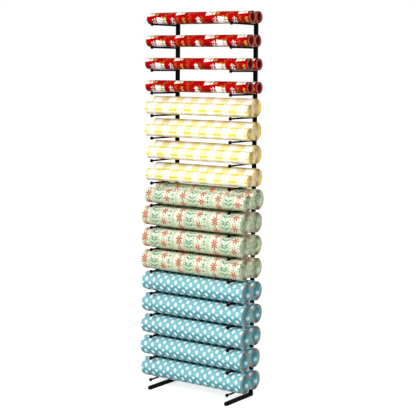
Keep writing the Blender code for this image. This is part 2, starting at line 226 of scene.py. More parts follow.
class StageSettings(bpy.types.PropertyGroup):
    """Camera, lights and floor."""

    place: spot("Camera", "Where the camera stands", 2.9334, -4.0905, 1.4584)
    yaw: turn_angle("Yaw", "How far the camera stands round to the right", 35.15)
    pitch: turn_angle("Pitch", "How far the camera looks down", 7.01)
    roll: turn_angle("Roll", "Turn of the picture", 0.57)
    lens: FloatProperty(name="Lens", description="Focal length", default=98.74, subtype="DISTANCE_CAMERA")
    sky: share("Sky", "Strength of the even light from all round", 0.20)
    key_power: power("Key", "Power of the main lamp", 248)
    key_place: spot("Key place", "Where the main lamp hangs", 0.6, -5.5, 3.7)
    key_size: size("Key size", "Width of the main lamp", 2.4)
    fill_power: power("Fill", "Power of the lamp at the right", 140)
    fill_place: spot("Fill place", "Where the lamp at the right hangs", 4.2, -2.4, 2.4)
    fill_size: size("Fill size", "Width of the lamp at the right", 2.0)
    rear_power: power("Rear", "Power of the lamp behind the rack", 80)
    rear_place: spot("Rear place", "Where the lamp behind the rack hangs", -1.6, 5.0, 3.9)
    rear_size: size("Rear size", "Width of the lamp behind the rack", 2.0)
    aim: spot("Aim", "What the lamps point at", 0, 0, 0.85)
    floor: share("Floor", "How much light the floor gives back", 0.70)
    floor_lift: share("Floor lift", "How far the camera sees the floor near the rack lifted to white", 0.68)
    floor_near: size("Near floor", "Distance from the rack at which the floor starts to whiten", 1.0)
    floor_far: size("Far floor", "Distance from the rack at which the floor is all white", 3.5)


def by_math(operation):
    """A method that puts a value, and what it is given, through a math node."""
    return lambda value, *others: value.math(operation, *others)


class Value:
    """A number that a node tree works out, so that a shape or a print can be written as a sum."""

    def __init__(self, tree, socket):
        self.tree = tree
        self.socket = socket

    def math(self, operation, *others):
        node = self.tree.nodes.new("ShaderNodeMath")
        node.operation = operation
        for socket, value in zip(node.inputs, (self, *others)):
            feed(self.tree, socket, value)
        return Value(self.tree, node.outputs[0])

    __add__ = by_math("ADD")
    __sub__ = by_math("SUBTRACT")
    __mul__ = __rmul__ = by_math("MULTIPLY")
    __truediv__ = by_math("DIVIDE")
    __pow__ = by_math("POWER")
    __abs__ = by_math("ABSOLUTE")
    __lt__ = by_math("LESS_THAN")
    __gt__ = by_math("GREATER_THAN")
    or_ = by_math("MAXIMUM")
    and_ = by_math("MINIMUM")
    remainder = by_math("FLOORED_MODULO")
    rounded = by_math("ROUND")
    root = by_math("SQRT")
    sine = by_math("SINE")
    cosine = by_math("COSINE")
    bearing = by_math("ARCTAN2")


def feed(tree, socket, value):
    """Links a value to a socket, or sets the socket to a plain number, colour or name."""
    if isinstance(value, Value):
        value = value.socket
    if isinstance(value, bpy.types.NodeSocket):
        tree.links.new(value, socket)
    elif socket.type == "RGBA":
        socket.default_value = (*value, 1)
    else:
        socket.default_value = value


def add_node(tree, kind, inputs=None, **settings):
    """A node with its settings and inputs; an input is named or numbered."""
    node = tree.nodes.new(kind)
    for name, value in settings.items():
        setattr(node, name, value)
    for key, value in (inputs or {}).items():
        feed(tree, node.inputs[key], value)
    return node


def eased(value, low, high, kind="SMOOTHERSTEP"):
    """0 up to low, 1 from high on, and eased between them."""
    inputs = {"Value": value, "From Min": low, "From Max": high}
    node = add_node(value.tree, "ShaderNodeMapRange", inputs, interpolation_type=kind)
    return Value(value.tree, node.outputs["Result"])


def vector_of(tree, *parts):
    return add_node(tree, "ShaderNodeCombineXYZ", dict(enumerate(parts))).outputs[0]


def parts_of(tree, vector):
    node = add_node(tree, "ShaderNodeSeparateXYZ", {0: vector})
    return [Value(tree, socket) for socket in node.outputs]


# Materials

# Where the colour mix node has its amount, its two colours and its result
AMOUNT, LOW, HIGH, MIXED = 0, 6, 7, 2


class Finish:
    """A material while its nodes are being laid out."""

    def __init__(self, name, roughness, specular):
        self.material = bpy.data.materials.new(name)
        self.material.use_nodes = True
        self.tree = self.material.node_tree
        self.shader = self.tree.nodes["Principled BSDF"]
        self.set("Roughness", roughness)
        self.set("Specular IOR Level", specular)
        self.height = None

    def set(self, name, value):
        feed(self.tree, self.shader.inputs[name], value)

    def paint(self, value):
        self.set("Base Color", value)

    def gloss(self, value, low, high):
        """Lets the roughness follow a value from 0 to 1."""
        self.set("Roughness", value * (high - low) + low)

    def bump(self, height, distance, strength):
        """Adds a layer of relief to the ones before it."""
        inputs = {"Height": height, "Distance": distance, "Strength": strength}
        node = add_node(self.tree, "ShaderNodeBump", inputs)
        if self.height:
            self.tree.links.new(self.height, node.inputs["Normal"])
        self.height = node.outputs[0]
        self.set("Normal", self.height)

    def place(self):
        return add_node(self.tree, "ShaderNodeTexCoord").outputs["Object"]

    def attribute(self, name):
        return add_node(self.tree, "ShaderNodeAttribute", attribute_name=name).outputs["Vector"]

    def read(self, name):
        """The three numbers of an attribute that the winding left on the paper."""
        return parts_of(self.tree, self.attribute(name))

    def mix(self, amount, low, high, blend_type="MIX"):
        """One colour where amount is 0, the other where it is 1."""
        inputs = {AMOUNT: amount, LOW: low, HIGH: high}
        node = add_node(self.tree, "ShaderNodeMix", inputs, data_type="RGBA", blend_type=blend_type)
        return node.outputs[MIXED]

    def inks(self, ground, *layers):
        """Inks printed over a ground in turn, each where one of its shapes is 1."""
        for shapes, ink in layers:
            ground = self.mix(union(shapes), ground, ink)
        return ground

    def noise(self, where, scale, detail=2.0, roughness=0.5):
        """Soft noise from 0 to 1 over a vector, or over up to three values."""
        vector = vector_of(self.tree, *where) if isinstance(where, tuple) else where
        inputs = {"Vector": vector, "Scale": scale, "Detail": detail, "Roughness": roughness}
        return Value(self.tree, add_node(self.tree, "ShaderNodeTexNoise", inputs).outputs[0])


# Name, roughness, scale of the orange peel, its height in metres and specular level of each black finish
BLACKS = {
    "coat": ("black_powder_coat", 0.5, 1400, 0.00004, 0.02),
    "plastic": ("black_moulded_plastic", 0.55, 2600, 0.00002, 0.04),
    "fastener": ("black_oxide_steel", 0.34, 3000, 0.00001, 0.2),
}
CLOUD_SCALE = 35
CLOUD_BRIGHTER = 1.7
CLOUD_GLOSSIER, CLOUD_DULLER = 0.07, 0.09
PEEL_STRENGTH = 0.6


def black_finish(rack, kind):
    """Coated steel or moulded plastic: fine orange peel and a little unevenness in its gloss."""
    name, roughness, grain, relief, specular = BLACKS[kind]
    if name in bpy.data.materials:
        return bpy.data.materials[name]
    finish = Finish(name, roughness, specular)
    place = finish.place()
    base = tuple(getattr(rack, kind))
    cloud = finish.noise(place, CLOUD_SCALE, 3)
    finish.paint(finish.mix(cloud, base, tuple(channel * CLOUD_BRIGHTER for channel in base)))
    finish.gloss(cloud, roughness - CLOUD_GLOSSIER, roughness + CLOUD_DULLER)
    finish.bump(finish.noise(place, grain), relief, PEEL_STRENGTH)
    return finish.material


# Shapes of the prints


def cell(value, period, centre=0.0):
    """A coordinate counted from the middle of each repeat of a print."""
    half = period / 2
    return ((value - centre + half) / period).remainder(1) * period - half


def stagger(value, row, centre, pitch):
    """Half a pitch in every other row, and 0 in the rows between."""
    number = ((value - centre) / row + 0.5).math("FLOOR")
    return number.remainder(2) * (pitch / 2)


def turned_by(x, y, degrees):
    """Coordinates in axes that are turned by some degrees."""
    if not degrees:
        return x, y
    cosine, sine = math.cos(math.radians(degrees)), math.sin(math.radians(degrees))
    return x * cosine + y * sine, y * cosine - x * sine


def oval(x, y, centre, radii, degrees=0):
    """1 inside an oval that is turned by some degrees."""
    across, up = turned_by(x - centre[0], y - centre[1], degrees)
    return (across / radii[0]) ** 2 + (up / radii[1]) ** 2 < 1


def disc(x, y, *radii):
    """1 inside an oval round the origin."""
    return oval(x, y, (0, 0), radii)


def block(x, y, centre, halves):
    """1 inside an upright rectangle."""
    return (abs(x - centre[0]) < halves[0]) * (abs(y - centre[1]) < halves[1])


def rosette(x, y, radius, rays, waist_share, fullness):
    """1 inside a star with round rays, or inside a clover leaf."""
    reach = (x ** 2 + y ** 2).root()
    swing = abs((y.bearing(x) * (rays / 2)).cosine()) ** fullness
    return reach < (swing * (1 - waist_share) + waist_share) * radius


# Share of a daisy's radius that its petals leave to its heart
HEART_SHARE = 0.14


def daisy(x, y, radius, petals, slim_share):
    """1 inside separate petals round the origin."""
    reach = (x ** 2 + y ** 2).root()
    angle = cell(y.bearing(x), FULL_TURN / petals)
    middle, half = radius * (1 + HEART_SHARE) / 2, radius * (1 - HEART_SHARE) / 2
    return oval(reach * angle.cosine(), reach * angle.sine(), (middle, 0), (half, slim_share * radius))


def union(shapes):
    """1 where any of the shapes is 1."""
    return reduce(Value.or_, shapes)


class Repeat:
    """A print's repeat on the paper, for placing motifs."""

    def __init__(self, sheet, width, height):
        self.along, self.around, self.width, self.height = sheet.along, sheet.around, width, height

    def at(self, across_share, up_share, degrees=0):
        """Coordinates from a place in the repeat, given in shares of its width and height."""
        x = cell(self.along, self.width, across_share * self.width)
        y = cell(self.around, self.height, up_share * self.height)
        return turned_by(x, y, degrees)

    def scatter(self, shape, places, *sizes):
        """The same shape at many places."""
        return [shape(*self.at(*place), *sizes) for place in places]


# Shares of a parcel's half width and half height: its ribbon, and the loops of the bow
RIBBON_SHARE, TIED_SHARE = 0.085, 0.42
BOW_PLACE_SHARES, BOW_RADIUS_SHARES, BOW_LEAN = (0.27, 1.16), (0.30, 0.22), 24


def parcel_shapes(x, y, wide, high):
    """A wrapped parcel, and on it a ribbon near one end with a bow."""
    ribbon, tied = RIBBON_SHARE * wide, TIED_SHARE * wide
    radii = (BOW_RADIUS_SHARES[0] * wide, BOW_RADIUS_SHARES[1] * high)
    shapes = [block(x, y, (tied, 0), (ribbon, high)), block(x, y, (tied, 0), (wide - tied, ribbon))]
    for side in (-1, 1):
        centre = (tied + side * BOW_PLACE_SHARES[0] * wide, BOW_PLACE_SHARES[1] * high)
        shapes.append(oval(x, y, centre, radii, side * BOW_LEAN))
    return block(x, y, (0, 0), (wide, high)), union(shapes)


# Shares of a bauble's radius: its belt's length, half height and waves, and its cap's place and half size
BELT_SHARES, WAVE_SHARE, WAVES = (0.9, 0.16), 0.12, 9
CAP_PLACE_SHARE, CAP_SHARES = 1.12, (0.25, 0.2)


def bauble_shapes(x, y, radius):
    """A bauble, and on it a wavy belt and a cap."""
    wavy = y + (x * (WAVES / radius)).sine() * (WAVE_SHARE * radius)
    belt = block(x, wavy, (0, 0), [part * radius for part in BELT_SHARES])
    cap = block(x, y, (0, CAP_PLACE_SHARE * radius), [part * radius for part in CAP_SHARES])
    return disc(x, y, radius, radius), belt.or_(cap)


# Shares of a leaf's length: its place beside the stem, its radii and the stem's half width
LEAF_PLACE_SHARE, LEAF_SHARES, STEM_SHARE = 0.62, (0.6, 0.24), 0.08
LEAF_LEAN = 38


def sprig_shape(x, y, length, leaf, step_share):
    """A stem with pairs of leaves along it, some leaf lengths apart."""
    step = leaf * step_share
    stalk = cell(y, step, step / 2)
    beside, radii = LEAF_PLACE_SHARE * leaf, [part * leaf for part in LEAF_SHARES]
    shapes = [oval(x, stalk, (side * beside, 0), radii, side * LEAF_LEAN) for side in (-1, 1)]
    return union([*shapes, abs(x) < STEM_SHARE * leaf]) * (abs(y) < length / 2)


# Shares of a turn over which the ground goes from its own colour to its painted shade, and turns from the
# print to the bore
SHADE_ONSET_SHARES = (-0.05, 0.03)
PRINT_ENDS = (1.5, 2.5)


class Sheet:
    """A sheet of paper while its print is being laid out: places on it, and where its ground turns to painted
    shade.
    """

    def __init__(self, finish, prints):
        self.along, self.around, self.turned = finish.read("sheet")
        # Painted shade: 1 on the lower front of a front roll, below its free edge, and on the top of a back
        # roll
        self.fresh = eased(self.turned, *(prints.faded + part for part in SHADE_ONSET_SHARES))
        self.inside = eased(self.turned, *PRINT_ENDS)


# A motif's place is in shares of the repeat's width and height, and degrees; here its half width follows
PARCELS = ((0.05, 0.30, 7, 0.0240), (0.245, 0.84, -8, 0.0260), (0.555, 0.36, 6, 0.0235))
PARCEL_HALF_HEIGHT = 0.0130
BAUBLE, BAUBLE_RADIUS = (0.86, 0.84, 14), 0.0125
# Stars, with their radius, rays, waist and fullness
STARS = ((0.165, 0.28, 18, 0.0105), (0.62, 0.90, 40, 0.0095))
STAR_SHAPE = (5, 0.30, 1.6)
# Sprigs, with their length, the length of a leaf and the leaf lengths from pair to pair
WHITE_SPRIGS, WHITE_SPRIG = ((0.125, 0.84, -66), (0.44, 0.86, 62)), (0.026, 0.0095, 1.15)
BRONZE_SPRIGS = (
    (0.335, 0.24, -46),
    (0.415, 0.36, -62),
    (0.53, 0.88, 34),
    (0.70, 0.80, -40),
    (0.70, 0.24, 30),
    (0.79, 0.36, -50),
    (0.94, 0.88, 44),
)
BRONZE_SPRIG = (0.038, 0.0070, 1.9)
DARK_SPRIGS = ((0.27, 0.36, 50), (0.36, 0.56, -64), (0.62, 0.14, -20), (0.99, 0.80, 84))
DARK_SPRIG = (0.042, 0.0090, 1.15)
SNOWBALLS = ((0.175, 0.50), (0.335, 0.46), (0.655, 0.55), (0.80, 0.58), (0.955, 0.66))
SNOWBALL = (0.0019, 0.0019)
IVORY_SCALE, IVORY_FROM_TO = 70, (0.50, 0.68)


def red_print(finish, prints, sheet):
    """Red paper with white parcels and baubles, gold ribbons and stars, and bronze and dark red sprigs."""
    tile = Repeat(sheet, prints.parcel, prints.parcel_row)
    pairs = [parcel_shapes(*tile.at(*place), half, PARCEL_HALF_HEIGHT) for *place, half in PARCELS]
    pairs.append(bauble_shapes(*tile.at(*BAUBLE), BAUBLE_RADIUS))
    white = [pair[0] for pair in pairs]
    white += tile.scatter(sprig_shape, WHITE_SPRIGS, *WHITE_SPRIG)
    white += tile.scatter(disc, SNOWBALLS, *SNOWBALL)
    gold = [pair[1] for pair in pairs]
    gold += [rosette(*tile.at(*place), radius, *STAR_SHAPE) for *place, radius in STARS]
    soft = eased(finish.noise((sheet.along, sheet.around), IVORY_SCALE), *IVORY_FROM_TO)
    # The red ground turns darker red where shade is painted on
    return finish.inks(
        finish.mix(sheet.fresh, prints.red, prints.fresh_red),
        (tile.scatter(sprig_shape, DARK_SPRIGS, *DARK_SPRIG), prints.dark_red),
        (tile.scatter(sprig_shape, BRONZE_SPRIGS, *BRONZE_SPRIG), prints.bronze),
        (white, finish.mix(soft, prints.white, prints.ivory)),
        (gold, prints.gold),
    )


# Shares of the outer turn over which the gingham's darkest stretch of painted shade starts and ends
DEEP_START_SHARES, DEEP_END_SHARES = (0.835, 0.865), (0.915, 0.925)
# Half the width of the line between strong checks, as a share of their row
LINE_SHARE = 0.3


def yellow_print(finish, prints, sheet):
    """Gingham in white and two yellows, with strong checks in narrow rows and a thin line between them."""
    middle = prints.check_start + prints.check_width / 2
    column = abs(cell(sheet.along, prints.check, middle)) < prints.check_width / 2
    from_row = abs(cell(sheet.around, prints.check_row, prints.check_row_start))
    row = from_row < prints.check_row_width / 2
    line = from_row < prints.check_row_width * LINE_SHARE
    # Painted shade: a dark golden band along the bottom of a front roll and the top of a back roll, over white
    # and pale checks alike
    darkest_shade = eased(sheet.turned, *DEEP_START_SHARES) - eased(sheet.turned, *DEEP_END_SHARES)
    # Painted shade: the checks and their line darken on the lower front of a front roll and the top of a back
    # roll
    pale = finish.mix(sheet.fresh, prints.pale_yellow, prints.fresh_yellow)
    strong = finish.mix(sheet.fresh, prints.strong_yellow, prints.fresh_strong)
    thin = finish.mix(sheet.fresh, prints.pale_yellow, prints.fresh_line)
    between = finish.mix(line, finish.mix(darkest_shade, prints.white, prints.deep_white), thin)
    ground = finish.mix(column, between, finish.mix(darkest_shade, pale, prints.deep_yellow))
    return finish.mix(column * row, ground, strong)


# Daisies, with their radius, petals and a petal's half width as a share of the radius
DAISIES = ((0.12, 0.30, 20, 0.0205, 7, 0.165), (0.66, 0.80, 0, 0.0190, 6, 0.19))
HEARTS, HEART = ((0.12, 0.30), (0.66, 0.80)), (0.0030, 0.0030)
BUDS, BUD = ((0.12, 0.80), (0.66, 0.30)), (0.0030, 0.0046)
CLOVERS, CLOVER = ((0.83, 0.30), (0.83, 0.80)), (0.0085, 4, 0.15, 1.0)
BERRIES, BERRY, BERRIES_IN_ROW = ((0.275, 0.5), (0.525, 0.5), (0.93, 0.5)), (0.0017, 0.0021), 3
GARLAND, GARLAND_LEAF, GARLAND_STEP = (0.40, 0.0), 0.0165, 1.15
THIN_LINE_SHARES = (0.245, 0.275, 0.305, 0.505, 0.545, 0.76, 0.90, 0.93, 0.96)
THIN_LINE = 0.0009
# Random blotches of the green paper, in the darker cream that also serves as its painted shade
BLOTCH_SCALE, BLOTCH_FROM_TO, BLOTCH_SHARE = 24, (0.48, 0.75), 0.6


def green_print(finish, prints, sheet):
    """Cream paper with bands of coral daisies and sage garlands between thin lines and berries."""
    width, row = prints.bouquet, prints.daisy_row
    tile = Repeat(sheet, width, row)
    coral = [daisy(*tile.at(across, up, degrees), *shape) for across, up, degrees, *shape in DAISIES]
    coral += Repeat(sheet, width, row / BERRIES_IN_ROW).scatter(disc, BERRIES, *BERRY)
    sage = [sprig_shape(*tile.at(*GARLAND), row, GARLAND_LEAF, GARLAND_STEP)]
    sage += tile.scatter(disc, BUDS, *BUD)
    sage += tile.scatter(disc, HEARTS, *HEART)
    sage += tile.scatter(rosette, CLOVERS, *CLOVER)
    lines = [abs(cell(sheet.along, width, part * width)) < THIN_LINE for part in THIN_LINE_SHARES]
    blotch = eased(finish.noise((sheet.along, sheet.around), BLOTCH_SCALE), *BLOTCH_FROM_TO) * BLOTCH_SHARE
    # Painted shade: the cream darkens on the lower front of a front roll and the top of a back roll, and in
    # random blotches
    ground = finish.mix(sheet.fresh.or_(blotch), prints.cream, prints.fresh_cream)
    return finish.inks(ground, (lines, prints.grey_green), (sage, prints.sage), (coral, prints.coral))


def blue_print(finish, prints, sheet):
    """Aqua paper with staggered white dots."""
    shift = stagger(sheet.around, prints.dot_row, prints.dot_row_start, prints.dot_pitch)
    x = cell(sheet.along + sheet.around * prints.dot_lean + shift, prints.dot_pitch, prints.dot_start)
    y = cell(sheet.around, prints.dot_row, prints.dot_row_start)
    # Painted shade: the aqua darkens on the lower front of a front roll and the top of a back roll
    ground = finish.mix(sheet.fresh, prints.aqua, prints.fresh_aqua)
    return finish.mix(disc(x, y, prints.dot / 2, prints.dot_height / 2), ground, prints.white)


PRINTS = {"red": red_print, "yellow": yellow_print, "green": green_print, "blue": blue_print}
# Creases lie along a roll, so their noise changes slowly along it; the tooth is the sheet's fine grain
CREASES_ALONG, CREASES_AROUND, CREASE_SCALE = 3, 26, 3
CREASE_SHADE, CREASE_SHARE, CREASE_GLOSS = (0.55, 0.55, 0.55), 0.10, (0.42, 0.60)
CREASE_HEIGHT, CREASE_STRENGTH = 0.0006, 0.35
TOOTH_SCALE, TOOTH_HEIGHT, TOOTH_STRENGTH = 900, 0.00002, 0.5


def printed_paper(paper, prints):
    """The printed face of a paper, with soft creases along it and the fine tooth of the sheet."""
    finish = Finish(f"{paper}_gift_wrap", 0.5, 0.05)
    sheet = Sheet(finish, prints)
    creases = finish.noise((sheet.along * CREASES_ALONG, sheet.around * CREASES_AROUND), CREASE_SCALE, 3)
    outside = PRINTS[paper](finish, prints, sheet)
    printed = finish.mix(sheet.inside, outside, bore_colour(finish, paper, prints))
    finish.paint(finish.mix(creases * CREASE_SHARE, printed, CREASE_SHADE, "MULTIPLY"))
    finish.gloss(creases, *CREASE_GLOSS)
    finish.bump(creases, CREASE_HEIGHT, CREASE_STRENGTH)
    finish.bump(finish.noise(finish.attribute("sheet"), TOOTH_SCALE), TOOTH_HEIGHT, TOOTH_STRENGTH)
    return finish.material


# Inside of a roll: near its end, further in, and in streaks
BORE_COLOURS = {
    "red": ((0.58, 0.08, 0.07), (0.49, 0.03, 0.03), (0.32, 0.01, 0.02)),
    "yellow": ((0.96, 0.84, 0.46), (0.98, 0.96, 0.93), (0.90, 0.74, 0.34)),
    "green": ((0.88, 0.93, 0.82), (0.83, 0.90, 0.78), (0.48, 0.57, 0.41)),
    "blue": ((0.48, 0.79, 0.83), (0.43, 0.74, 0.79), (0.28, 0.57, 0.65)),
}
# Depths between which the tone changes, and the streaks' pace along and round the bore
BORE_TONE_DEPTHS = (0.006, 0.020)
STREAKS_ALONG, STREAKS_AROUND, STREAKS_FROM_TO = 260, 0.9, (0.45, 0.70)
# Dots in a blue roll: radii, height of a row, place of the first and bearing that the rows count from
BORE_DOT, BORE_DOT_ROW, BORE_DOT_START, BORE_DOT_BEARING = (0.0085, 0.0088), 0.030, 0.011, math.radians(119)


def bore_colour(finish, paper, prints):
    """The innermost turn: a tone that changes with depth, in streaks, and large dots on blue paper."""
    near, deep, streak = (linear(*screen) for screen in BORE_COLOURS[paper])
    from_left, from_right, _ = finish.read("ends")
    depth = from_left.and_(from_right)
    distance, angle, seed = finish.read("winding")
    streaks = finish.noise((depth * STREAKS_ALONG, angle * STREAKS_AROUND, seed), 1)
    tone = finish.mix(eased(depth, *BORE_TONE_DEPTHS), near, deep)
    ground = finish.mix(eased(streaks, *STREAKS_FROM_TO), tone, streak)
    if paper != "blue":
        return ground
    arc = cell(angle, FULL_TURN, BORE_DOT_BEARING) * distance
    shift = stagger(arc, BORE_DOT_ROW, 0, prints.dot_pitch)
    x = cell(depth + shift, prints.dot_pitch, BORE_DOT_START)
    return finish.mix(disc(x, cell(arc, BORE_DOT_ROW), *BORE_DOT), ground, prints.white)


# Cut edges of the paper: between its darker stretches and in them
EDGE_COLOURS = {
    "red": ((0.52, 0.44, 0.38), (0.27, 0.18, 0.15)),
    "yellow": ((0.88, 0.83, 0.65), (0.62, 0.46, 0.14)),
    "green": ((0.74, 0.75, 0.63), (0.40, 0.32, 0.24)),
    "blue": ((0.54, 0.61, 0.59), (0.38, 0.31, 0.26)),
}
# Rings: their pace through the wall and round it, height and strength
RINGS_DEEP, RINGS_AROUND, RINGS_DETAIL, RINGS_ROUGHNESS = 1900, 0.6, 3, 0.6
RING_HEIGHT, RING_STRENGTH = 0.0003, 0.7
# Stretches: their pace round the end and through the wall
PATCHES_AROUND, PATCHES_DEEP = 2.0, 60
# How much rings, stretches and the end's upper and lower sides darken it, and how narrow those sides are
RING_SHARE, PATCH_SHARE, SIDE_SHARE, SIDE_NARROWING = 0.6, 0.7, 0.26, 8
DARK_FROM_TO = (0.66, 0.92)


def paper_edge(paper):
    """The cut edges of many layers at a roll's end, in fine rings with darker stretches."""
    finish = Finish(f"{paper}_roll_end", 0.8, 0.2)
    depth, turn, seed = finish.read("winding")
    pale, dark = (linear(*screen) for screen in EDGE_COLOURS[paper])
    where = (depth * RINGS_DEEP, turn * RINGS_AROUND, seed)
    rings = finish.noise(where, 1, RINGS_DETAIL, RINGS_ROUGHNESS)
    across, up = turn.sine() * PATCHES_AROUND, turn.cosine() * PATCHES_AROUND
    patches = finish.noise((across, up, depth * PATCHES_DEEP + seed), 1)
    upper_and_lower = abs(turn.cosine()) ** SIDE_NARROWING * SIDE_SHARE
    darkness = rings * RING_SHARE + patches * PATCH_SHARE + upper_and_lower
    finish.paint(finish.mix(eased(darkness, *DARK_FROM_TO, "LINEAR"), pale, dark))
    finish.bump(rings, RING_HEIGHT, RING_STRENGTH)
    return finish.material


# Geometry node trees


def new_tree(name, inputs):
    """A tree with named inputs, listed by their socket type."""
    tree = bpy.data.node_groups.new(name, "GeometryNodeTree")
    tree.interface.new_socket("Geometry", in_out="OUTPUT", socket_type="NodeSocketGeometry")
    for kind, labels in inputs.items():
        for label in labels:
            tree.interface.new_socket(label, in_out="INPUT", socket_type=f"NodeSocket{kind}")
    given = tree.nodes.new("NodeGroupInput")
    return tree, {socket.name: Value(tree, socket) for socket in given.outputs if socket.name}


def close_tree(tree, geometry, materials):
    """Ends a tree in Realize Instances and Set Material, with one Set Material for each selection."""
    realized = add_node(tree, "GeometryNodeRealizeInstances", {"Geometry": geometry}).outputs[0]
    for material, selection in materials:
        inputs = {"Geometry": realized, "Material": material}
        if selection is not None:
            inputs["Selection"] = selection
        realized = add_node(tree, "GeometryNodeSetMaterial", inputs).outputs[0]
    tree.links.new(realized, tree.nodes.new("NodeGroupOutput").inputs[0])
    return tree


ROW_INPUTS = {
    "Object": ("Template",),
    "Int": ("Count",),
    "Vector": ("Start", "Step"),
    "Material": ("Finish",),
}


def row_tree():
    """Copies of a template, an even distance apart on a straight line."""
    tree, given = new_tree("even_row", ROW_INPUTS)
    inputs = {"Count": given["Count"], "Start Location": given["Start"], "Offset": given["Step"]}
    line = add_node(tree, "GeometryNodeMeshLine", inputs).outputs[0]
    inputs = {"Object": given["Template"]}
    template = add_node(tree, "GeometryNodeObjectInfo", inputs, transform_space="ORIGINAL")
    inputs = {"Points": line, "Instance": template.outputs["Geometry"]}
    copies = add_node(tree, "GeometryNodeInstanceOnPoints", inputs).outputs[0]
    return close_tree(tree, copies, [(given["Finish"], None)])


ROLL_INPUTS = {
    "Vector": ("Centre",),
    "Float": (
        "Length", "Diameter", "Wall", "Packed", "Thinnest", "Wander",
        "Seam", "Lift", "Lifted Share", "Shift", "Start", "Seed",
    ),
    "Int": ("Turns", "Steps"),
    "Material": ("Print", "Edge"),
}
# Rows of the ribbon's grid round its section, and the slack with which a row's number is told
RIBBON_ROWS = 5
ROW_SLACK = 0.75
# A face whose normal leans along the roll more than this is a cut edge
FACING_END = 0.5


def roll_tree():
    """A roll of paper: one ribbon wound inwards as a spiral, thinnest at the outside and in the bore.

    The ribbon is a grid of five rows that closes round its section. Its way runs from 0 at the free edge to
    1 in the bore. The first two columns share a place and differ in thickness, which gives the free edge its
    face. The last column has no thickness, which closes the inner end.
    """
    tree, given = new_tree("wound_roll", ROLL_INPUTS)
    turns, wall, radius = given["Turns"], given["Wall"], given["Diameter"] / 2
    columns = turns * given["Steps"] + 1
    counts = {"Size X": 1.0, "Size Y": 1.0, "Vertices X": columns + 1, "Vertices Y": RIBBON_ROWS}
    grid = add_node(tree, "GeometryNodeMeshGrid", counts).outputs[0]
    across, down, _ = parts_of(tree, tree.nodes.new("GeometryNodeInputPosition").outputs[0])
    column = ((across + 0.5) * columns).rounded()
    way = (column - 1).or_(0) / (columns - 1)
    rank = ((down + 0.5) * (RIBBON_ROWS - 1)).rounded()
    on_right = abs(rank - 1.5) < ROW_SLACK
    inside = abs(rank - 2.5) < ROW_SLACK
    sunk = eased(way, 0.0, 1.0)
    pitch = (eased(way + turns ** -1, 0.0, 1.0) - sunk) * wall * given["Packed"]
    closing = column.and_(1) * (columns - column).and_(1)
    thickness = pitch.or_(given["Thinnest"]) * closing
    lift = (eased(way * turns, 0.0, given["Lifted Share"]) * -1 + 1) * given["Lift"]
    distance = radius - wall * sunk - inside * thickness + lift
    angle = given["Seam"] + way * turns * FULL_TURN
    centre = parts_of(tree, given["Centre"])
    end = roll_end(tree, given, way * turns, on_right)
    up, back = distance * angle.cosine(), distance * angle.sine()
    place = vector_of(tree, centre[X] + end, centre[Y] + back, centre[Z] + up)
    wound = radius * way - wall * (way ** 6 - 3 * way ** 5 + 2.5 * way ** 4)
    around = wound * turns * FULL_TURN + radius * (given["Seam"] - FRONT) + given["Shift"]
    from_left, from_right = given["Length"] / 2 + end, given["Length"] / 2 - end
    held = named_vector(tree, grid, "sheet", from_left + given["Start"], around, way * turns)
    held = named_vector(tree, held, "winding", distance, angle, given["Seed"])
    held = named_vector(tree, held, "ends", from_left, from_right)
    shaped = add_node(tree, "GeometryNodeSetPosition", {"Geometry": held, "Position": place}).outputs[0]
    inputs = {"Geometry": shaped, "Distance": SAME_POINT}
    closed = add_node(tree, "GeometryNodeMergeByDistance", inputs).outputs[0]
    outwards = add_node(tree, "GeometryNodeFlipFaces", {"Mesh": closed}).outputs[0]
    facing = parts_of(tree, tree.nodes.new("GeometryNodeInputNormal").outputs["True Normal"])[X]
    materials = [(given["Print"], None), (given["Edge"], abs(facing) > FACING_END)]
    return close_tree(tree, crisp_edges(tree, outwards), materials)


# Uneven ends: their pace from turn to turn, how far apart both ends' patterns lie, and where they start
WANDER_PACE, RIGHT_PATTERN, WANDER_STARTS = 1.7, 31, (0.2, 1.6)


def roll_end(tree, given, turned_so_far, on_right):
    """How far from the roll's middle its layers end, which wanders a little from turn to turn."""
    pattern = turned_so_far * WANDER_PACE + on_right * RIGHT_PATTERN + given["Seed"]
    inputs = {"W": pattern, "Scale": 1.0, "Detail": 2.0}
    drift = Value(tree, add_node(tree, "ShaderNodeTexNoise", inputs, noise_dimensions="1D").outputs[0])
    drawn_back = drift * given["Wander"] * eased(turned_so_far, *WANDER_STARTS)
    return (given["Length"] / 2 - drawn_back) * (on_right * 2 - 1)


def named_vector(tree, geometry, name, *parts):
    """Stores a vector on the points."""
    inputs = {"Geometry": geometry, "Name": name}
    kept = {"data_type": "FLOAT_VECTOR", "domain": "POINT"}
    node = add_node(tree, "GeometryNodeStoreNamedAttribute", inputs, **kept)
    feed(tree, node.inputs["Value"], vector_of(tree, *parts))
    return node.outputs[0]


def crisp_edges(tree, geometry):
    """Smooth shading but for edges that bend sharply."""
    inputs = {"Geometry": geometry, "Shade Smooth": True}
    soft = add_node(tree, "GeometryNodeSetShadeSmooth", inputs).outputs[0]
    bend = Value(tree, tree.nodes.new("GeometryNodeInputMeshEdgeAngle").outputs[0])
    inputs = {"Geometry": soft, "Selection": bend > ROLL_SHARP, "Shade Smooth": False}
    return add_node(tree, "GeometryNodeSetShadeSmooth", inputs, domain="EDGE").outputs[0]


# Making pieces


def link(obj):
    bpy.context.scene.collection.objects.link(obj)
    return obj


def plain_mesh(obj):
    """The mesh that an object's modifiers give."""
    graph = bpy.context.evaluated_depsgraph_get()
    changed = obj.evaluated_get(graph)
    return bpy.data.meshes.new_from_object(changed, preserve_all_data_layers=True, depsgraph=graph)


